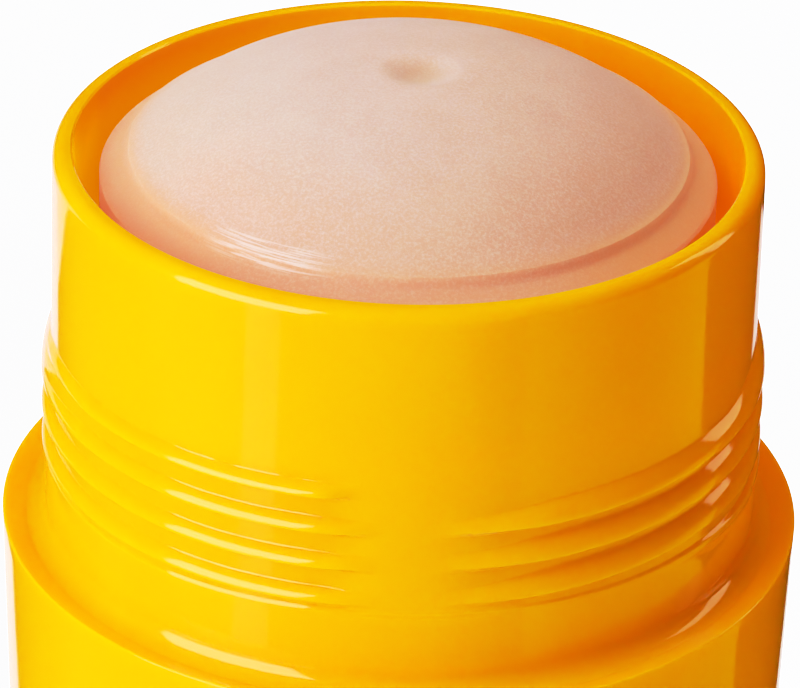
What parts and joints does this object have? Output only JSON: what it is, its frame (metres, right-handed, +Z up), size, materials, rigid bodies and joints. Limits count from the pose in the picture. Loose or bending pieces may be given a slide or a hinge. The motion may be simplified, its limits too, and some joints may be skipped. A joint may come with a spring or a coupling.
{
  "type": "deodorant stick",
  "caption": "Round twist-up deodorant pack without its cap: threaded neck, wide shoulder, domed solid stick and a fluted dial at the foot that raises it.",
  "frame": {"origin": "centre of the base, on the surface the pack stands on", "axes": "+Z up along the pack's axis; -Y is the front, where a plain gap breaks the neck's thread"},
  "size_m": [0.0506, 0.0506, 0.0812],
  "materials": {
    "case_plastic": "glossy moulded plastic, golden yellow",
    "mechanism_plastic": "natural white moulded plastic",
    "product": "milky, slightly translucent solid, satin"
  },
  "bodies": {
    "case": {"outer_case": "case_plastic", "inner_barrel": "case_plastic"},
    "drive": {"lead_screw": "mechanism_plastic", "twist_dial": "case_plastic"},
    "stick": {"elevator": "mechanism_plastic", "product_stick": "product"}
  },
  "joints": [
    {"name": "dial_turn", "type": "hinge", "parent": "case", "child": "drive", "pos_m": [0, 0, 0], "axis": [0, 0, -1], "range_deg": [0, 4140]},
    {"name": "stick_lift", "type": "slide", "parent": "case", "child": "stick", "axis": [0, 0, 1], "range_m": [0, 0.046]}
  ],
  "couplings": [
    {"joint": "dial_turn", "follows": "stick_lift", "rad_per_m": 1570.8}
  ]
}
